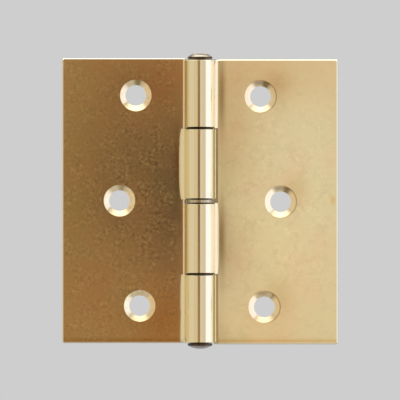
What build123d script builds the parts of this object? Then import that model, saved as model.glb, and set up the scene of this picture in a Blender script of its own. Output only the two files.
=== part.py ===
from build123d import *

import os
from math import asin, cos, degrees, hypot, radians, sin, sqrt, tan

# Flat butt hinge: two stamped leaves with rolled knuckles, turning on a riveted pin.
# The pin runs along Z through the origin, the countersunk faces look along -Y,
# and the hinge is opened flat with one leaf on each side of X = 0.

# Leaf plate, millimetres
leaf_height = 70.0
leaf_reach = 33.9  # pin axis to the free edge
sheet = 1.5
closed_gap = 1.5  # between the two countersunk faces when the hinge is shut
corner_radius = 0.6
edge_break = 0.3  # chamfer round the countersunk face and on the ends of the knuckles

# Pin and rolled barrel
pin_diameter = 4.0
pin_clearance = 0.05  # radial, so the leaves turn freely
head_diameter = 6.1
head_height = 1.3
head_rim = 0.45  # straight rim of a head, under its crown
head_flat = 3.4  # flat that the hammer leaves on the upper head
head_clearance = 0.1  # end play under each head

# Knuckles, along the pin
leaf_offset = 0.15  # each leaf sits this far from the middle of the pin
inner_excess = 0.5  # a leaf's inner knuckle is this much longer than its end knuckle
running_gap = 0.15  # between an end knuckle and its neighbour
middle_gap = 0.9  # between the two inner knuckles, where the pin shows
notch_clearance = 0.1  # broken corner of a notch to the barrel, which stands in front of it

# Neck, where the plate sweeps up into the barrel
neck_radius_inner = 1.9
neck_radius_end = 1.45
neck_radius_notch = 1.2  # where a knuckle stops at a notch
neck_stations = 9
neck_swell = 8  # exponent: how soon the neck reaches its full radius
roll_start_angle = 30.0  # neck and roll join here, well past the tangent point
roll_end_angle = 38.0  # where the rolled tongue stops, short of the neck's back
break_end_angle = 4.0  # where the chamfer of a knuckle runs out into the neck

# Screw holes: reach is from the pin axis, inset from an end of the leaf
hole_diameter = 5.1
countersink_diameter = 7.8
countersink_angle = 100.0
hole_inset = 9.15
hole_reach_knuckle = 14.85  # hole beside the end knuckle
hole_reach_middle = 19.8
hole_reach_notch = 15.8  # hole beside the open notch

# Worked out from the sizes above
bore_radius = pin_diameter / 2 + pin_clearance
barrel_radius = bore_radius + sheet
face_y = closed_gap / 2
back_y = face_y + sheet
notch_edge = sqrt((barrel_radius + notch_clearance) ** 2 - (face_y + edge_break) ** 2)
four_knuckles = leaf_height - 2 * leaf_offset - 2 * running_gap - middle_gap
end_knuckle = four_knuckles / 4 - inner_excess / 2
inner_knuckle = end_knuckle + inner_excess
inner_notch = running_gap + inner_knuckle + middle_gap
low_end = -leaf_height / 2
end_knuckle_top = low_end + end_knuckle
inner_knuckle_low = end_knuckle_top + inner_notch
inner_knuckle_top = inner_knuckle_low + inner_knuckle
high_end = leaf_height / 2
hole_rise = high_end - hole_inset
shank_half = high_end - leaf_offset + head_clearance
overcut = edge_break  # how far a cutter stands out of the metal
tiny = 1e-4  # two positions closer than this are the same


def neck_start(radius):
    """Distance from the pin axis at which a neck of this radius leaves the plate."""
    return sqrt((barrel_radius + radius) ** 2 - (radius - face_y) ** 2)


plate_edge = neck_start(max(neck_radius_inner, neck_radius_end)) + edge_break


def polar(radius, angle):
    """Point on a circle about the pin: angle in degrees from -X, positive to the front."""
    return Vector(-radius * cos(radians(angle)), -radius * sin(radians(angle)))


def angle_about_pin(point):
    """Angle of a point left of the pin, in the terms of polar."""
    return degrees(asin(-point.Y / hypot(point.X, point.Y)))


def arc_about(centre, start, end):
    """The short arc from start to end about a centre."""
    radius = (start - centre).length
    middle = ((start - centre).normalized() + (end - centre).normalized()).normalized()
    return ThreePointArc(start, centre + middle * radius, end)


def neck_section(radius, height):
    """Closed section of the neck at one height: plate, bend and the foot of the roll."""
    reach = neck_start(radius)
    centre = Vector(-reach, face_y - radius)
    pin = Vector(0, 0)
    foot = angle_about_pin(centre)
    outer_touch, inner_touch = polar(barrel_radius, foot), polar(bore_radius, foot)
    outer_end, inner_end = (polar(r, roll_start_angle) for r in (barrel_radius, bore_radius))
    face_start, back_start = Vector(-plate_edge, face_y), Vector(-plate_edge, back_y)
    face_bend, back_bend = Vector(-reach, face_y), Vector(-reach, back_y)
    edges = [
        Line(face_start, face_bend),
        arc_about(centre, face_bend, outer_touch),
        arc_about(pin, outer_touch, outer_end),
        Line(outer_end, inner_end),
        arc_about(pin, inner_end, inner_touch),
        arc_about(centre, inner_touch, back_bend),
        Line(back_bend, back_start),
        Line(back_start, face_start),
    ]
    return Pos(0, 0, height) * make_face(edges)


def neck(low, high, full_radius, notch_low, notch_high):
    """Loft along one knuckle: full in the middle, tight beside each notch."""
    sections = []
    for station in range(neck_stations):
        share = station / (neck_stations - 1)
        dip = max(notch_low * (1 - share), notch_high * share) ** neck_swell
        radius = full_radius - (full_radius - neck_radius_notch) * dip
        sections.append(neck_section(radius, low + share * (high - low)))
    return loft(sections)


def roll(low, high):
    """The tongue rolled round the pin, from the neck to its free end at the back."""
    outer_start, inner_start = (polar(r, roll_start_angle) for r in (barrel_radius, bore_radius))
    outer_end, inner_end = (polar(r, -roll_end_angle) for r in (barrel_radius, bore_radius))
    middle = 180 + (roll_start_angle - roll_end_angle) / 2
    edges = [
        ThreePointArc(outer_start, polar(barrel_radius, middle), outer_end),
        Line(outer_end, inner_end),
        ThreePointArc(inner_end, polar(bore_radius, middle), inner_start),
        Line(inner_start, outer_start),
    ]
    return Pos(0, 0, low) * extrude(make_face(edges), high - low)


def plate_block(far, near, low, high):
    """Flat sheet between two distances from the pin."""
    middle = Pos(-(far + near) / 2, (face_y + back_y) / 2, (low + high) / 2)
    return middle * Box(far - near, sheet, high - low)


def screw_hole(reach, rise):
    """Cutter for one countersunk hole, opening towards the face."""
    depth = (countersink_diameter - hole_diameter) / 2 / tan(radians(countersink_angle / 2))
    profile = Polyline(
        (0, face_y - overcut),
        (countersink_diameter / 2, face_y - overcut),
        (countersink_diameter / 2, face_y),
        (hole_diameter / 2, face_y + depth),
        (hole_diameter / 2, back_y + overcut),
        (0, back_y + overcut),
        close=True,
    )
    return Pos(-reach, 0, rise) * revolve(make_face(profile), Axis.Y)


def same(first, second):
    """Whether two positions are one."""
    return abs(first - second) < tiny


def on_face_rim(edge):
    """Whether an edge runs along the free edge or an end of the countersunk face."""
    box = edge.bounding_box()
    if not (same(box.min.Y, face_y) and same(box.max.Y, face_y)):
        return False
    at_side = same(box.min.X, -leaf_reach) and same(box.max.X, -leaf_reach)
    at_end = any(same(box.min.Z, z) and same(box.max.Z, z) for z in (low_end, high_end))
    return at_side or at_end


def corner_cut(corner, first, second):
    """Section of the cutter that breaks a corner; the two directions point into the metal."""

    def point(one, two):
        return corner + (first * one + second * two) * edge_break

    around = (point(1, 0), point(1, -1), point(-1, -1), point(-1, 1), point(0, 1))
    return make_face(Polyline(*around, close=True))


def notch_chamfer(low, high):
    """Cutter for the broken edge of one notch."""
    section = corner_cut(Vector(-notch_edge, face_y), Vector(-1, 0), Vector(0, 1))
    return Pos(0, 0, low) * extrude(section, high - low)


def knuckle_chamfer(height, inward):
    """Cutter for the broken end of a knuckle; inward is the way along Z into its metal."""
    section = corner_cut(Vector(barrel_radius, height), Vector(-1, 0), Vector(0, inward))
    turn = 360 - break_end_angle - roll_end_angle
    ring = revolve(Plane.XZ * section, Axis.Z, revolution_arc=turn)
    return Rot(0, 0, 180 + break_end_angle) * ring


def leaf():
    """One stamped leaf, as the left one: its end knuckle is the lowest of the four."""
    body = plate_block(leaf_reach, plate_edge, low_end, high_end)
    corners = body.edges().filter_by(Axis.Y).group_by(Axis.X)[0]
    body = fillet(corners, corner_radius)
    body += plate_block(plate_edge, notch_edge, end_knuckle_top, inner_knuckle_low)
    body += plate_block(plate_edge, notch_edge, inner_knuckle_top, high_end)
    body += neck(low_end, end_knuckle_top, neck_radius_end, 0, 1)
    body += neck(inner_knuckle_low, inner_knuckle_top, neck_radius_inner, 1, 1)
    body += roll(low_end, end_knuckle_top)
    body += roll(inner_knuckle_low, inner_knuckle_top)
    body = chamfer(body.edges().filter_by(on_face_rim), edge_break)
    body -= notch_chamfer(end_knuckle_top, inner_knuckle_low)
    body -= notch_chamfer(inner_knuckle_top, high_end)
    body -= knuckle_chamfer(end_knuckle_top, -1)
    body -= knuckle_chamfer(inner_knuckle_low, 1)
    body -= knuckle_chamfer(inner_knuckle_top, -1)
    for reach, rise in (
        (hole_reach_knuckle, -hole_rise),
        (hole_reach_middle, 0),
        (hole_reach_notch, hole_rise),
    ):
        body -= screw_hole(reach, rise)
    return body


def crown(rim, flat, top):
    """Arc of a spherical rivet head in the XZ plane, from its rim up to a flat on its top."""
    rise = abs(top - rim.Y)
    drop = (rim.X**2 - flat**2 + rise**2) / (2 * rise)
    centre = Vector(0, top - drop if top > 0 else top + drop)
    return arc_about(centre, rim, Vector(flat, top))


def hinge_pin():
    """Turned pin, crowned below and hammered flatter above."""
    shank, head, flat = pin_diameter / 2, head_diameter / 2, head_flat / 2
    rim_end, top = shank_half + head_rim, shank_half + head_height
    edges = [
        Line((0, -top), (0, top)),
        Line((0, top), (flat, top)),
        crown(Vector(head, rim_end), flat, top),
        Polyline(
            (head, rim_end),
            (head, shank_half),
            (shank, shank_half),
            (shank, -shank_half),
            (head, -shank_half),
            (head, -rim_end),
        ),
        crown(Vector(head, -rim_end), 0, -top),
    ]
    return revolve(Plane.XZ * make_face(edges), Axis.Z)


left = leaf()
right = Rot(0, 180, 0) * left
parts = {
    "left_leaf": Pos(0, 0, leaf_offset) * left,
    "right_leaf": Pos(0, 0, -leaf_offset) * right,
    "hinge_pin": hinge_pin(),
}

os.makedirs("parts", exist_ok=True)
for name, solid in parts.items():
    export_step(solid, f"parts/{name}.step")
    print(name, round(solid.volume, 2), solid.bounding_box().size)
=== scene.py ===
import math

import bpy
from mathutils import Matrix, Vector


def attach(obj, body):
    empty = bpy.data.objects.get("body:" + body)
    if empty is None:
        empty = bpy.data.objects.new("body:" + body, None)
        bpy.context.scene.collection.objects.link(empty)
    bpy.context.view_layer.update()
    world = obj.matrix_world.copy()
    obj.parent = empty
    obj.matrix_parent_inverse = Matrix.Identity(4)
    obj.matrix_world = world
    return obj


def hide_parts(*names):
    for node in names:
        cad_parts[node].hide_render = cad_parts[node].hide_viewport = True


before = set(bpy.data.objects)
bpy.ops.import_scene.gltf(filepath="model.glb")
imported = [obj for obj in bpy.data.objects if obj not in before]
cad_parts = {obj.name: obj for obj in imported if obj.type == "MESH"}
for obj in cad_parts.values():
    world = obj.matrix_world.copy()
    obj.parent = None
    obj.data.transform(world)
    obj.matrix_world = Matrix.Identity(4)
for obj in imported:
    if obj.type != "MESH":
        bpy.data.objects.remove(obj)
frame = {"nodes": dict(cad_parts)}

scene = bpy.context.scene
scene.view_settings.view_transform = "Standard"
mm = 0.001
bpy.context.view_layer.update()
print("frame loaded:", ", ".join(frame["nodes"]))


# helpers: picking objects and faces, wiring shader nodes

def only(obj):
    bpy.ops.object.select_all(action="DESELECT")
    obj.select_set(True)
    bpy.context.view_layer.objects.active = obj


def pick(obj, kind, wanted):
    # leaves the object in edit mode with the wanted faces or edges selected
    bpy.ops.object.mode_set(mode="EDIT")
    bpy.ops.mesh.select_mode(type=kind)
    bpy.ops.mesh.select_all(action="DESELECT")
    bpy.ops.object.mode_set(mode="OBJECT")
    for item in obj.data.polygons if kind == "FACE" else obj.data.edges:
        item.select = wanted(item)
    bpy.ops.object.mode_set(mode="EDIT")


class Wiring:
    # adds nodes to one tree, setting or linking their inputs in the same call
    def __init__(self, tree):
        self.tree = tree

    def plug(self, socket, value):
        if isinstance(value, bpy.types.NodeSocket):
            self.tree.links.new(value, socket)
        else:
            socket.default_value = value

    def add(self, kind, inputs=None, **values):
        node = self.tree.nodes.new(kind)
        for name, value in values.items():
            setattr(node, name, value)
        for name, value in (inputs or {}).items():
            self.plug(node.inputs[name], value)
        return node

    def fill(self, tree, inputs):
        return self.add("ShaderNodeGroup", inputs, node_tree=tree).outputs

    def math(self, operation, *terms):
        return self.add("ShaderNodeMath", dict(enumerate(terms)), operation=operation).outputs[0]

    def times(self, product, *factors):
        for factor in factors:
            product = self.math("MULTIPLY", product, factor)
        return product

    def vector(self, operation, *terms):
        return self.add("ShaderNodeVectorMath", dict(enumerate(terms)), operation=operation).outputs

    def split(self, vector):
        return self.add("ShaderNodeSeparateXYZ", {"Vector": vector}).outputs

    def fit(self, value, low, high, toLow=0.0, toHigh=1.0):
        inputs = {"Value": value, "From Min": low, "From Max": high, "To Min": toLow, "To Max": toHigh}
        node = self.add("ShaderNodeMapRange", inputs, interpolation_type="SMOOTHSTEP")
        return node.outputs["Result"]

    def noise(self, vector, scale, detail=2.0, roughness=0.5, curl=0.0):
        return self.add("ShaderNodeTexNoise", {
            "Vector": vector, "Scale": scale, "Detail": detail, "Roughness": roughness, "Distortion": curl,
        }).outputs["Fac"]

    def blend(self, share, first, second, way="MIX"):
        node = self.add("ShaderNodeMix", data_type="RGBA", blend_type=way)
        for index, value in ((0, share), (6, first), (7, second)):  # its colour sockets go by number
            self.plug(node.inputs[index], value)
        return node.outputs[2]


def newGroup(name, inputs, outputs):
    tree = bpy.data.node_groups.new(name, "ShaderNodeTree")
    for direction, sockets in (("INPUT", inputs), ("OUTPUT", outputs)):
        for socketName, kind in sockets.items():
            tree.interface.new_socket(socketName, in_out=direction, socket_type=f"NodeSocket{kind}")
    wires = Wiring(tree)
    return wires, wires.add("NodeGroupInput").outputs, wires.add("NodeGroupOutput").inputs


def newMaterial(name):
    material = bpy.data.materials.new(name)
    material.use_nodes = True
    return material, Wiring(material.node_tree), material.node_tree.nodes["Principled BSDF"]


def dress(piece, material):
    piece.data.materials.clear()
    piece.data.materials.append(material)


# leaves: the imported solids, merged and given clean shading

shadingSettings = {
    "mergeWithin": 0.002 * mm,
    "flatWithin": math.radians(0.1),
    "sharpAbove": math.radians(48),  # chamfers shade as rounded rims, cut edges stay crisp
    "flatWeight": 80,
}
holeSettings = {
    # x and z of the countersunk holes, the radius of their mouths and y of the face, millimetres
    "left": ((-15.8, 26.0), (-19.8, 0.15), (-14.85, -25.7)),
    "right": ((14.85, 25.7), (19.8, -0.15), (15.8, -26.0)),
    "mouth": 3.9,
    "mouthWithin": 0.05,
    "face": 0.75,
    "faceWithin": 0.02,
}


def mergedCopy(nodeName, s):
    only(frame["nodes"][nodeName])
    bpy.ops.object.duplicate()
    piece = bpy.context.active_object
    piece.name = piece.data.name = nodeName + "_finished"
    bpy.ops.mesh.customdata_custom_splitnormals_clear()
    bpy.ops.object.mode_set(mode="EDIT")
    bpy.ops.mesh.select_all(action="SELECT")
    bpy.ops.mesh.remove_doubles(threshold=s["mergeWithin"])
    bpy.ops.mesh.dissolve_limited(angle_limit=s["flatWithin"])
    bpy.ops.object.mode_set(mode="OBJECT")
    return piece


def crispMouths(leaf, holes, s):
    # a countersink meets the face at a crease shallower than the chamfers
    def atMouth(vertex):
        point = leaf.data.vertices[vertex].co / mm
        if abs(point.y - s["face"]) >= s["faceWithin"]:
            return False
        reaches = (math.hypot(point.x - x, point.z - z) for x, z in holes)
        return any(abs(reach - s["mouth"]) < s["mouthWithin"] for reach in reaches)

    only(leaf)
    pick(leaf, "EDGE", lambda edge: all(atMouth(vertex) for vertex in edge.vertices))
    bpy.ops.mesh.mark_sharp()
    bpy.ops.object.mode_set(mode="OBJECT")


def shade(piece, s):
    only(piece)
    bpy.ops.object.shade_smooth_by_angle(angle=s["sharpAbove"], keep_sharp_edges=True)
    weighted = piece.modifiers.new("flatFaces", "WEIGHTED_NORMAL")  # wide flats keep their own normal
    weighted.keep_sharp = True
    weighted.weight = s["flatWeight"]
    bpy.ops.object.modifier_apply(modifier=weighted.name)


def seat(piece, nodeName, body):
    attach(piece, body)
    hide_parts(nodeName)


leftLeaf = mergedCopy("left_leaf", shadingSettings)
rightLeaf = mergedCopy("right_leaf", shadingSettings)
for leaf, side in ((leftLeaf, "left"), (rightLeaf, "right")):
    crispMouths(leaf, holeSettings[side], holeSettings)
    shade(leaf, shadingSettings)
seat(leftLeaf, "left_leaf", "fixed_leaf")
seat(rightLeaf, "right_leaf", "swinging_leaf")
print("leaves:", len(leftLeaf.data.polygons), "and", len(rightLeaf.data.polygons), "faces")


# pin: its imported solid, with a hammered upper head, old grease in the middle gap, and dark rings in the
# narrow gaps that stand in for their shade

headSettings = {
    "above": 36.1 * mm,
    "upright": 0.9,  # least upward part of a normal on the flat
    "cuts": 2,
    "dents": 0.09 * mm,
    "seed": 7,
}
greaseAndShadeRings = {
    # middle and half height of each gap between knuckles
    "gaps": ((0.0, 0.43 * mm), (17.905 * mm, 0.065 * mm), (-17.905 * mm, 0.065 * mm)),
    "depth": 1.45 * mm,
}


def hammer(piece, s):
    # the flat of the upper head, broken up and dented
    only(piece)
    pick(piece, "FACE", lambda face: face.normal.z > s["upright"] and face.center.z > s["above"])
    bpy.ops.mesh.poke()
    bpy.ops.mesh.subdivide(number_cuts=s["cuts"])
    bpy.ops.transform.vertex_random(offset=s["dents"], uniform=0.0, normal=1.0, seed=s["seed"])
    bpy.ops.transform.translate(value=(0, 0, -s["dents"]))
    bpy.ops.object.mode_set(mode="OBJECT")


def grease(piece, s):
    # a ring round the pin closes each gap: old grease in the middle one, and in the narrow ones a dark ring
    # that stands in for shade
    for middleZ, half in s["gaps"]:
        only(piece)
        for cutZ in (middleZ - half, middleZ + half):
            bpy.ops.object.mode_set(mode="EDIT")
            bpy.ops.mesh.select_all(action="SELECT")
            bpy.ops.mesh.bisect(plane_co=(0, 0, cutZ), plane_no=(0, 0, 1))
            bpy.ops.object.mode_set(mode="OBJECT")
        pick(piece, "FACE", lambda face: abs(face.center.z - middleZ) < half)
        bpy.ops.mesh.extrude_region_shrink_fatten(TRANSFORM_OT_shrink_fatten={"value": s["depth"]})
        bpy.ops.object.mode_set(mode="OBJECT")


pinPiece = mergedCopy("hinge_pin", shadingSettings)
grease(pinPiece, greaseAndShadeRings)
hammer(pinPiece, headSettings)
shade(pinPiece, shadingSettings)
seat(pinPiece, "hinge_pin", "fixed_leaf")
print("pin:", len(pinPiece.data.polygons), "faces")


# effects that the materials share

filmSettings = {
    "detail": 4.0,
    "roughness": 0.6,
    "rosy": (0.4, 0.65),
    "green": (0.45, 0.7),
    "elsewhere": (0.31, 0.17, 0.23),  # keeps the olive clouds apart from the rose ones
}
grainSettings = {"detail": 3.0, "roughness": 0.6}
lipShadeSettings = {
    "fade": (0.25 * mm, 0.05 * mm),  # either way from the edge of the mouth
    "turn": (-1.5 * mm, 2.5 * mm),  # from the side near the pin to the far one
}


def filmTintGroup(s):
    wires, given, out = newGroup(
        "filmTint",
        {"Vector": "Vector", "Gold": "Color", "Rose": "Color", "Olive": "Color", "Cloud Size": "Float"},
        {"Color": "Color"},
    )
    scale = wires.math("DIVIDE", 1.0, given["Cloud Size"])
    elsewhere = wires.vector("ADD", given["Vector"], s["elsewhere"])[0]
    rosy = wires.fit(wires.noise(given["Vector"], scale, s["detail"], s["roughness"]), *s["rosy"])
    green = wires.fit(wires.noise(elsewhere, scale, s["detail"], s["roughness"]), *s["green"])
    tinted = wires.blend(green, wires.blend(rosy, given["Gold"], given["Rose"]), given["Olive"])
    wires.plug(out["Color"], tinted)
    return wires.tree


def grainGroup(s):
    wires, given, out = newGroup(
        "fineGrain",
        {"Vector": "Vector", "Grain Size": "Float", "Patch Size": "Float", "Curl": "Float"},
        {"Grain": "Float", "Patches": "Float"},
    )
    grainScale = wires.math("DIVIDE", 1.0, given["Grain Size"])
    patchScale = wires.math("DIVIDE", 1.0, given["Patch Size"])
    grain = wires.noise(given["Vector"], grainScale, s["detail"], s["roughness"], given["Curl"])
    wires.plug(out["Grain"], grain)
    wires.plug(out["Patches"], wires.noise(given["Vector"], patchScale, s["detail"]))
    return wires.tree


def softSpotGroup():
    # fades from one at the centre, with its own radius across and along the leaf
    wires, given, out = newGroup(
        "softSpot", {"Vector": "Vector", "Centre": "Vector", "Radius": "Vector"}, {"Mask": "Float"}
    )
    offset = wires.vector("SUBTRACT", given["Vector"], given["Centre"])[0]
    flat = wires.vector("MULTIPLY", wires.vector("DIVIDE", offset, given["Radius"])[0], (1, 0, 1))[0]
    reach = wires.vector("DOT_PRODUCT", flat, flat)["Value"]
    wires.plug(out["Mask"], wires.math("EXPONENT", wires.times(reach, -1.0)))
    return wires.tree


def screwHoleGroup(s):
    # a shallow dish round the hole, how far inside its mouth a point is,
    # and the side of its lip away from the pin, where shade is painted
    wires, given, out = newGroup(
        "screwHole",
        {"Vector": "Vector", "Centre": "Vector", "Spread": "Float", "Mouth": "Float", "Side": "Float"},
        {"Dish": "Float", "Inside": "Float", "Lip Shade": "Float"},
    )
    offset = wires.vector("SUBTRACT", given["Vector"], given["Centre"])[0]
    reach = wires.vector("LENGTH", wires.vector("MULTIPLY", offset, (1, 0, 1))[0])["Value"]
    share = wires.math("DIVIDE", reach, given["Spread"])
    inside = wires.math("SUBTRACT", given["Mouth"], reach)
    atLip = wires.fit(wires.math("ABSOLUTE", inside), *s["fade"])
    outward = wires.times(wires.split(offset)["X"], given["Side"])
    wires.plug(out["Dish"], wires.math("EXPONENT", wires.times(share, share, -1.0)))
    wires.plug(out["Inside"], wires.math("MAXIMUM", inside, 0.0))
    wires.plug(out["Lip Shade"], wires.times(atLip, wires.fit(outward, *s["turn"])))
    return wires.tree


filmTint = filmTintGroup(filmSettings)
fineGrain = grainGroup(grainSettings)
softSpot = softSpotGroup()
screwHole = screwHoleGroup(lipShadeSettings)
print("shared effects done")


def spot(wires, place, x, z, across, along):
    inputs = {"Vector": place, "Centre": (x * mm, 0, z * mm), "Radius": (across * mm, mm, along * mm)}
    return wires.fill(softSpot, inputs)["Mask"]


# passivated sheet: gold film with rose and olive clouds, stains, painted shade and highlights, fine grain,
# a slight bow, dished holes

sheetSettings = {
    "gold": (0.84, 0.655, 0.345, 1),
    "rose": (0.86, 0.62, 0.33, 1),
    "olive": (0.825, 0.66, 0.34, 1),
    "cloudSize": 14 * mm,
    "knuckle": (0.87, 0.755, 0.49, 1),  # painted sheen: the rolled knuckles are shown paler
    "knuckleFade": 0.3,  # along the pin, millimetres
    # painted highlight along the outer edges of each leaf
    "rim": (0.95, 0.86, 0.62, 1),
    "rimStart": (33.4 * mm, 34.55 * mm),  # from the pin, and up or down from the middle
    "rimFade": 0.2 * mm,
    "bare": (0.95, 0.82, 0.55, 1),
    "speckShare": 0.9,
    # painted shade on the flank of each knuckle that faces the other leaf
    "creviceShade": (0.55, 0.46, 0.33, 1),
    "creviceFront": (-2.1 * mm, -1.2 * mm),
    "creviceBack": (1.6 * mm, 0.6 * mm),
    "mirrored": (0.90, 0.80, 0.56, 1),  # painted reflection: the pieces see each other in this paler colour, so the barrel's flanks stay pale
    "patchSize": 3.5 * mm,
    "mottles": ((1.0, 0.86, 0.80, 1), (0.88, 1.0, 0.84, 1)),
    "mottleRange": (0.35, 0.65),
    "grainCurl": 0.7,
    "grainMiddle": 0.27,  # squared grain above this is paler than the film
    "grainClumps": (0.35, 1.35),  # the grain is stronger in some patches
    "clumpRange": (0.38, 0.62),
    "wornGrain": (0.5, 1.2),  # and where the sheet is scuffed
    "backGrain": 0.35,
    "grainDepth": 0.0012 * mm,
    "plateStart": (5.0 * mm, 6.6 * mm),  # grain fades in here, past the smooth knuckles
    "backStart": (1.2 * mm, 2.0 * mm),  # stains and painted shade stay on the countersunk side
    "back": 2.2 * mm,
    "roughness": (0.10, 0.14),
    "roughRange": (0.3, 0.7),
    "bowSlope": 0.042,
    "bowStart": 3.2 * mm,
    "bowEase": 1.5 * mm,
    "notch": 3.5 * mm,
    "dishDepth": 0.07 * mm,
    "dishSpread": 5.5 * mm,
    "wallLift": 0.23,  # the countersinks are burnished a little flatter
    # the countersinks are burnished and carry a painted highlight
    "burnishAndHighlight": 0.35,
    "burnishFade": 0.1 * mm,
    # painted shade on the lip of each countersink, away from the pin
    "lipShade": (0.66, 0.58, 0.44, 1),
}
leftSheet = {
    "side": -1,
    "rise": 0.15 * mm,
    "knuckles": ((-34.85, -17.98), (0.45, 17.83)),  # from and to along the pin, millimetres
    "holes": holeSettings["left"],
    "grainSize": 0.8 * mm,
    "grainShade": 1.6,
    "worn": (-11, 2, 13, 22),  # x, z and radii of the scuffed part, millimetres
    "mottle": 0.12,
    "knuckleEnd": (4.6 * mm, 5.5 * mm),  # the painted sheen on the roll fades out here
    # painted highlight on the notch edges
    "notchHighlight": (0.95, 0.72, 0.42, 1),
    "notchRim": 4.1 * mm,
    "edgeRoll": (0.8 * mm, 0.25),  # how far in from a notch the edge sinks, and its slope there
    # x, z and the two radii in millimetres, then what the film is multiplied by
    "stainsAndShade": (
        (-8, -30, 8, 8, (0.96, 0.80, 0.62, 1)),
        (-9, 29, 9, 7, (0.98, 0.86, 0.82, 1)),
        (-31, 6, 6, 22, (0.92, 0.97, 0.90, 1)),
        # painted shade along the neck and along the lower edge
        (-5.5, 9.5, 0.9, 9, (0.66, 0.62, 0.58, 1)),
        (-20, -34.2, 60, 0.6, (0.84, 0.76, 0.62, 1)),
    ),
    # bare flecks: x, z and the two radii
    "specks": (
        (-27.0, 25.6, 0.4, 0.3), (-12.5, 13.1, 0.6, 0.5), (-12.7, -6.3, 0.35, 0.35),
        (-29.4, -16.7, 0.35, 0.3), (-14.2, -21.1, 0.35, 0.4), (-20.6, -22.3, 0.2, 0.9),
    ),
}
rightSheet = {
    "side": 1,
    "rise": -0.15 * mm,
    "knuckles": ((-17.83, -0.45), (17.98, 34.85)),
    "holes": holeSettings["right"],
    "grainSize": 1.2 * mm,
    "grainShade": 0.28,
    "worn": (18, 0, 20, 30),
    "mottle": 0.08,
    "knuckleEnd": (3.7 * mm, 4.8 * mm),
    # painted highlight on the notch edges
    "notchHighlight": (0.94, 0.93, 0.64, 1),
    "notchRim": 4.45 * mm,
    "edgeRoll": (1.0 * mm, 0.30),
    "stainsAndShade": (
        # wide and faint: painted shade and light across the leaf
        (7, 20, 7, 22, (0.86, 0.78, 0.70, 1)),
        (7, -15, 6, 10, (0.88, 0.85, 0.82, 1)),
        (5.8, 9, 2.8, 8, (0.90, 0.94, 0.90, 1)),
        (6.3, -9, 2.6, 8.5, (0.86, 0.86, 0.83, 1)),
        (17, 31, 12, 7, (0.95, 0.88, 0.80, 1)),
        (14, -32, 12, 7, (1.0, 0.94, 0.86, 1)),
        (20, -16, 12, 14, (1.05, 1.0, 0.97, 1)),
        (28, 8, 8, 22, (1.03, 1.05, 1.09, 1)),
        (21, -2, 13, 12, (1.0, 1.045, 1.03, 1)),
        (29, 31, 9, 8, (0.98, 0.94, 0.92, 1)),
        # painted shade beside each hole
        (18.6, 28.4, 3.5, 4.0, (0.86, 0.78, 0.70, 1)),
        (23.4, 2.6, 3.5, 4.0, (0.90, 0.84, 0.76, 1)),
        (19.4, -23.4, 3.5, 4.0, (0.90, 0.84, 0.76, 1)),
        # painted shade along the necks and the lower edge
        (5.3, 26.5, 0.9, 9.5, (0.52, 0.45, 0.34, 1)),
        (5.3, -9.0, 0.9, 9.5, (0.52, 0.45, 0.34, 1)),
        (20, -34.4, 60, 0.6, (0.90, 0.78, 0.62, 1)),
        # one small spot near the free edge, then painted shadow at the top of each countersink
        (32.6, 0.2, 0.6, 1.0, (0.94, 0.78, 0.64, 1)),
        (14.6, 29.0, 1.3, 0.6, (0.35, 0.27, 0.22, 1)),
        (19.4, 3.1, 1.3, 0.5, (0.40, 0.31, 0.26, 1)),
        (15.4, -22.7, 1.3, 0.5, (0.60, 0.40, 0.28, 1)),
    ),
    "specks": (),
}


def sheetMasks(wires, place, s, own):
    axes = wires.split(place)
    fade = s["knuckleFade"]
    edge, end = s["rimStart"]
    across = wires.math("ABSOLUTE", axes["X"])
    along = wires.math("ABSOLUTE", wires.math("SUBTRACT", axes["Z"], own["rise"]))
    atKnuckle = 0.0
    for low, high in own["knuckles"]:
        above = wires.fit(axes["Z"], (low - fade) * mm, (low + fade) * mm)
        below = wires.fit(axes["Z"], (high + fade) * mm, (high - fade) * mm)
        atKnuckle = wires.math("MULTIPLY_ADD", above, below, atKnuckle)
    atNotch = wires.math("SUBTRACT", 1.0, atKnuckle)
    front = wires.fit(axes["Y"], *reversed(s["backStart"]))
    farSide = wires.math("LESS_THAN", wires.times(axes["X"], own["side"]), 0.0)
    # painted shade on the knuckles' far flanks
    creviceShade = wires.times(
        wires.fit(axes["Y"], *s["creviceFront"]), wires.fit(axes["Y"], *s["creviceBack"]), farSide
    )
    atEdge = wires.fit(across, edge, edge + s["rimFade"])
    atEnd = wires.fit(along, end, end + s["rimFade"])
    nearNotch = wires.fit(across, own["notchRim"], own["notchRim"] - s["rimFade"])
    pastNeck = wires.fit(across, *s["plateStart"])
    return {
        "across": across,
        "notch": atNotch,
        "roll": wires.times(wires.fit(across, *reversed(own["knuckleEnd"])), atKnuckle),
        "front": front,
        "notBack": wires.math("LESS_THAN", axes["Y"], s["back"]),
        "plate": wires.times(pastNeck, wires.fit(front, 0.0, 1.0, s["backGrain"], 1.0)),
        "creviceShade": creviceShade,
        "rim": wires.math("MAXIMUM", atEdge, atEnd),
        "notchRim": wires.times(nearNotch, atNotch),
    }


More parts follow.
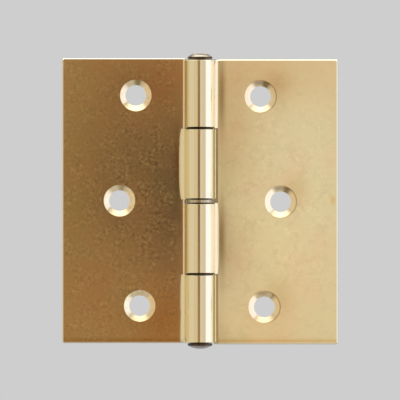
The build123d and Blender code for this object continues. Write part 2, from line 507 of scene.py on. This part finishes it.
def filmColour(wires, place, grain, masks, s, own):
    film = wires.fill(filmTint, {
        "Vector": place, "Gold": s["gold"], "Rose": s["rose"], "Olive": s["olive"],
        "Cloud Size": s["cloudSize"],
    })["Color"]
    # stains, and painted shade at the necks, edges and holes
    for *where, tint in own["stainsAndShade"]:
        share = wires.times(spot(wires, place, *where), masks["front"])
        film = wires.blend(share, film, tint, "MULTIPLY")
    for where in own["specks"]:
        share = wires.times(spot(wires, place, *where), masks["front"], s["speckShare"])
        film = wires.blend(share, film, s["bare"])
    mottle = wires.blend(wires.fit(grain["Patches"], *s["mottleRange"]), *s["mottles"])
    film = wires.blend(own["mottle"], film, mottle, "MULTIPLY")

    # grain is squared, which leaves few pale flecks among many dark ones
    clumps = wires.fit(grain["Patches"], *s["clumpRange"], *s["grainClumps"])
    worn = wires.fit(spot(wires, place, *own["worn"]), 0.0, 1.0, *s["wornGrain"])
    contrast = wires.times(masks["plate"], clumps, worn, own["grainShade"])
    flecks = wires.math("SUBTRACT", wires.times(grain["Grain"], grain["Grain"]), s["grainMiddle"])
    level = wires.math("MULTIPLY_ADD", flecks, contrast, 1.0)
    film = wires.add("ShaderNodeVectorMath", {0: film, "Scale": level}, operation="SCALE").outputs[0]

    # painted sheen on the rolled knuckles, painted shade on their far flanks, painted highlights on the
    # edges and notch rims
    film = wires.blend(masks["roll"], film, s["knuckle"])
    film = wires.blend(masks["creviceShade"], film, s["creviceShade"], "MULTIPLY")
    film = wires.blend(masks["rim"], film, s["rim"])
    return wires.blend(masks["notchRim"], film, own["notchHighlight"])


def sheetRelief(wires, masks, s, own):
    # the leaf bows back from the pin, and its edge sinks towards a notch
    away = wires.math("MAXIMUM", wires.math("SUBTRACT", masks["across"], s["bowStart"]), 0.0)
    eased = wires.math("MINIMUM", away, s["bowEase"])
    curve = wires.times(eased, eased, 0.5 / s["bowEase"])
    drop = wires.math("ADD", curve, wires.math("SUBTRACT", away, eased))
    rollWidth, rollSlope = own["edgeRoll"]
    inRoll = wires.math("MAXIMUM", wires.math("SUBTRACT", s["notch"] + rollWidth, masks["across"]), 0.0)
    sunk = wires.times(inRoll, inRoll, masks["notch"])
    return wires.math("MULTIPLY_ADD", sunk, -rollSlope / 2 / rollWidth, wires.times(drop, -s["bowSlope"]))


def sheetMaterial(name, s, own):
    material, wires, shader = newMaterial(name)
    place = wires.add("ShaderNodeTexCoord").outputs["Object"]
    grain = wires.fill(fineGrain, {
        "Vector": place, "Grain Size": own["grainSize"], "Patch Size": s["patchSize"],
        "Curl": s["grainCurl"],
    })
    masks = sheetMasks(wires, place, s, own)
    colour = filmColour(wires, place, grain, masks, s, own)
    height = sheetRelief(wires, masks, s, own)
    for x, z in own["holes"]:
        hole = wires.fill(screwHole, {
            "Vector": place, "Centre": (x * mm, 0, z * mm), "Spread": s["dishSpread"],
            "Mouth": holeSettings["mouth"] * mm, "Side": own["side"],
        })
        wall = wires.times(hole["Inside"], s["wallLift"])
        dished = wires.math("MULTIPLY_ADD", hole["Dish"], -s["dishDepth"], wall)
        height = wires.math("MULTIPLY_ADD", dished, masks["notBack"], height)
        # paler inside the mouth: burnish and painted highlight
        burnishedAndLit = wires.fit(hole["Inside"], 0.0, s["burnishFade"], 0.0, s["burnishAndHighlight"])
        colour = wires.blend(wires.times(burnishedAndLit, masks["notBack"]), colour, s["rim"])
        # painted shade on the lip away from the pin
        colour = wires.blend(wires.times(hole["Lip Shade"], masks["notBack"]), colour, s["lipShade"], "MULTIPLY")
    grainHeight = wires.times(grain["Grain"], masks["plate"], s["grainDepth"])
    bump = wires.add("ShaderNodeBump", {"Height": wires.math("ADD", grainHeight, height), "Distance": 1.0})
    # reflected rays see the plain paler colour, a painted reflection
    direct = wires.add("ShaderNodeLightPath").outputs["Is Camera Ray"]
    wires.plug(shader.inputs["Base Color"], wires.blend(direct, s["mirrored"], colour))
    wires.plug(shader.inputs["Normal"], bump.outputs["Normal"])
    wires.plug(shader.inputs["Roughness"], wires.fit(grain["Patches"], *s["roughRange"], *s["roughness"]))
    shader.inputs["Metallic"].default_value = 1.0
    return material


dress(leftLeaf, sheetMaterial("plated_sheet_left", sheetSettings, leftSheet))
dress(rightLeaf, sheetMaterial("plated_sheet_right", sheetSettings, rightSheet))
print("plated sheet done")


# pin steel: browned heads, old grease, and painted shade where the shank shows in the gaps and where the
# heads meet the knuckles

pinSettings = {
    "steel": (0.78, 0.70, 0.52, 1),
    "upperHead": (0.32, 0.27, 0.20, 1),
    "lowerHead": (0.26, 0.225, 0.25, 1),
    "headStart": (34.97 * mm, 35.05 * mm),
    "headShade": (0.20, 0.17, 0.12, 1),  # painted shade: the crowns darken towards the knuckles
    "rimEnd": (35.3 * mm, 35.6 * mm),
    "grease": (0.64, 0.56, 0.38, 1),
    "oldGrease": (0.42, 0.35, 0.20, 1),
    "grime": (0.17, 0.13, 0.065, 1),
    "grimeStart": (0.22 * mm, 0.4 * mm),  # painted shade everywhere but midway along the pin
    "grimeSides": (2.0 * mm, 3.3 * mm),
    "sideGrime": 0.8,
    "lineSize": 0.25 * mm,
    "lineRange": (0.35, 0.7),
    "stretch": (1, 1, 0.04),  # draw lines run along the pin
    "patchSize": 1.3 * mm,
    "patchDetail": (3.0, 0.6),
    "patchRange": (0.35, 0.65),
    "patchShare": 0.35,  # how much bare steel shows in the patches
    "dentDepth": 0.05 * mm,
    "roughness": (0.2, 0.34),
    "roughRange": (0.3, 0.7),
}


def steelMaterial(name, s):
    material, wires, shader = newMaterial(name)
    place = wires.add("ShaderNodeTexCoord").outputs["Object"]
    axes = wires.split(place)
    reach = wires.math("ABSOLUTE", axes["Z"])
    lines = wires.noise(wires.vector("MULTIPLY", place, s["stretch"])[0], 1 / s["lineSize"])
    patches = wires.noise(place, 1 / s["patchSize"], *s["patchDetail"])
    onHead = wires.fit(reach, *s["headStart"])
    isUpper = wires.math("GREATER_THAN", axes["Z"], 0.0)

    shank = wires.blend(wires.fit(lines, *s["lineRange"]), s["grease"], s["oldGrease"])
    # painted shade in the narrow gaps, under the heads and at the sides of the middle gap
    atSides = wires.fit(wires.math("ABSOLUTE", axes["X"]), *s["grimeSides"], 0.0, s["sideGrime"])
    inShade = wires.math("MAXIMUM", wires.fit(reach, *s["grimeStart"]), atSides)
    shank = wires.blend(inShade, shank, s["grime"])
    head = wires.blend(isUpper, s["lowerHead"], s["upperHead"])
    head = wires.blend(wires.fit(patches, *s["patchRange"], 0.0, s["patchShare"]), head, s["steel"])
    head = wires.blend(wires.fit(reach, *reversed(s["rimEnd"])), head, s["headShade"], "MULTIPLY")
    wires.plug(shader.inputs["Base Color"], wires.blend(onHead, shank, head))

    dents = wires.times(patches, onHead, s["dentDepth"])
    bump = wires.add("ShaderNodeBump", {"Height": dents, "Distance": 1.0})
    wires.plug(shader.inputs["Normal"], bump.outputs["Normal"])
    wires.plug(shader.inputs["Roughness"], wires.fit(patches, *s["roughRange"], *s["roughness"]))
    shader.inputs["Metallic"].default_value = 1.0
    return material


dress(pinPiece, steelMaterial("pin_steel", pinSettings))
print("pin steel done")


# camera: square on to the countersunk faces, far off with a long lens

cameraSettings = {
    "distance": 1.4,
    "raise": 0.3 * mm,
    "frameWidth": 98.2 * mm,  # what the square frame takes in at the leaves
    "sees": 20,
}


def camera(s):
    bpy.ops.object.camera_add(location=(0, -s["distance"], s["raise"]), rotation=(math.pi / 2, 0, 0))
    cam = bpy.context.active_object
    cam.data.angle = 2 * math.atan(s["frameWidth"] / 2 / s["distance"])
    cam.data.clip_end = s["sees"]
    scene.camera = cam


camera(cameraSettings)
print("camera done")


# stage: floor, grey surroundings, soft panels, dark cards and one lamp

stageSettings = {
    "grey": 0.617,
    "floorShade": 0.37,
    "floorDrop": 160 * mm,
    "floorRadius": 2.6,
    "floorSides": 96,
    "floorFade": (0.2, 0.75),  # the floor melts into the grey around it
}
panelSettings = {
    # azimuths from the camera's side, elevations, distance, brightness, and the soft share of each edge
    "rightFill": ((3.2, 12), (-40, 40), 0.7, (0.83, 0.85, 0.90), 0.04),
    "rightWarm": ((12, 37), (-40, 40), 0.74, (0.79, 0.71, 0.63), 0.03),
    "leftFill": ((-112, -15), (-40, 45), 0.8, (0.79, 0.74, 0.65), 0.04),
    "leftWarm": ((-48, -16), (-40, 45), 0.74, (0.76, 0.67, 0.53), 0.12),
    "rightPanel": ((37, 113), (-60, 60), 0.8, (1.22, 1.30, 1.72), 0.28),
    "brownCard": ((-18.5, 2.2), (-30, 30), 0.25, (0.394, 0.262, 0.157), 0.02),
    "sideCard": ((-42, -4), (-66, -33), 0.5, (0.24, 0.21, 0.13), 0.36),
    "topPanel": ((-60, 60), (46, 134), 0.6, (3.0, 3.0, 3.08), 0.4),
    "lowCard": ((-60, 60), (-118, -62), 0.12, (0.28, 0.17, 0.10), 0.45),
}
shadeSettings = {
    # dark parts of one card: x and z where they show on the left leaf, their radii there, and their colour
    "brownCard": (
        (-5, -1.5, 6.5, 19, (0.31, 0.38, 0.52, 1)),
        (-16, 9, 18, 25, (0.59, 0.60, 0.64, 1)),
    ),
}
lampSettings = {"azimuth": 30, "elevation": 62, "distance": 0.9, "size": 0.18, "power": 5.0}


def around(azimuth, elevation, distance):
    a, e = math.radians(azimuth), math.radians(elevation)
    return Vector((math.sin(a) * math.cos(e), -math.cos(a) * math.cos(e), math.sin(e))) * distance


def middle(pair):
    return sum(pair) / 2


def spread(pair, distance):
    return 2 * distance * math.tan(math.radians(pair[1] - pair[0]) / 2)


def plainGrey(level):
    return (level, level, level, 1)


def greyWorld(s):
    scene.world = bpy.data.worlds.new("greyStudio")
    scene.world.use_nodes = True
    background = scene.world.node_tree.nodes["Background"]
    background.inputs["Color"].default_value = plainGrey(s["grey"])


def paleFloor(s):
    bpy.ops.object.select_all(action="DESELECT")
    place = (0, 0, -s["floorDrop"])
    bpy.ops.mesh.primitive_circle_add(
        vertices=s["floorSides"], radius=s["floorRadius"], fill_type="NGON", location=place
    )
    floor = bpy.context.active_object
    floor.name = "floor"
    material, wires, shader = newMaterial("floor_grey")
    shader.inputs["Base Color"].default_value = plainGrey(s["floorShade"])
    shader.inputs["Roughness"].default_value = 1.0
    shader.inputs["Specular IOR Level"].default_value = 0.0
    distance = wires.vector("LENGTH", wires.add("ShaderNodeTexCoord").outputs["Object"])["Value"]
    grey = wires.add("ShaderNodeEmission", {"Color": plainGrey(s["grey"])})
    mix = wires.add("ShaderNodeMixShader", {
        0: wires.fit(distance, *s["floorFade"]), 1: shader.outputs[0], 2: grey.outputs[0],
    })
    wires.plug(material.node_tree.nodes["Material Output"].inputs["Surface"], mix.outputs[0])
    dress(floor, material)
    floor.visible_glossy = False


def shaded(wires, colour, shades, distance):
    # the bowed leaf shows a card smaller, and turned aside
    scale = 1 + distance / cameraSettings["distance"]
    shift = -2 * sheetSettings["bowSlope"] * distance / mm
    place = wires.add("ShaderNodeNewGeometry").outputs["Position"]
    for x, z, radiusX, radiusZ, shadeColour in shades:
        mask = spot(wires, place, x * scale + shift, z * scale, radiusX * scale, radiusZ * scale)
        colour = wires.blend(mask, colour, shadeColour, "MULTIPLY")
    return colour


def glowPanel(name, azimuths, elevations, distance, brightness, softEdge):
    place = around(middle(azimuths), middle(elevations), distance)
    bpy.ops.object.select_all(action="DESELECT")
    bpy.ops.mesh.primitive_plane_add(size=1, location=place)
    panel = bpy.context.active_object
    panel.name = name
    panel.rotation_euler = (-place).to_track_quat("Z", "Y").to_euler()
    panel.scale = (spread(azimuths, distance), spread(elevations, distance), 1)
    material, wires, _ = newMaterial(name)
    axes = wires.split(wires.add("ShaderNodeTexCoord").outputs["Object"])
    fades = [wires.fit(wires.math("ABSOLUTE", axes[axis]), 0.5, 0.5 - softEdge) for axis in "XY"]
    colour = wires.blend(wires.times(*fades), plainGrey(stageSettings["grey"]), (*brightness, 1))
    if name in shadeSettings:
        colour = shaded(wires, colour, shadeSettings[name], distance)
    glow = wires.add("ShaderNodeEmission", {"Color": colour})
    wires.plug(material.node_tree.nodes["Material Output"].inputs["Surface"], glow.outputs[0])
    dress(panel, material)
    panel.visible_camera = panel.visible_shadow = False
    panel.visible_diffuse = max(brightness) > stageSettings["grey"]  # dark cards only shape the reflections


def softLamp(s):
    # lights the floor and throws the shadow; the panels make the reflections
    place = around(s["azimuth"], s["elevation"], s["distance"])
    bpy.ops.object.light_add(type="AREA", location=place)
    lamp = bpy.context.active_object
    lamp.name = "softLamp"
    lamp.rotation_euler = (-place).to_track_quat("-Z", "Y").to_euler()
    lamp.data.size = s["size"]
    lamp.data.energy = s["power"]
    lamp.visible_camera = lamp.visible_glossy = False


greyWorld(stageSettings)
paleFloor(stageSettings)
for panelName, panelPlace in panelSettings.items():
    glowPanel(panelName, *panelPlace)
softLamp(lampSettings)
print("stage done")
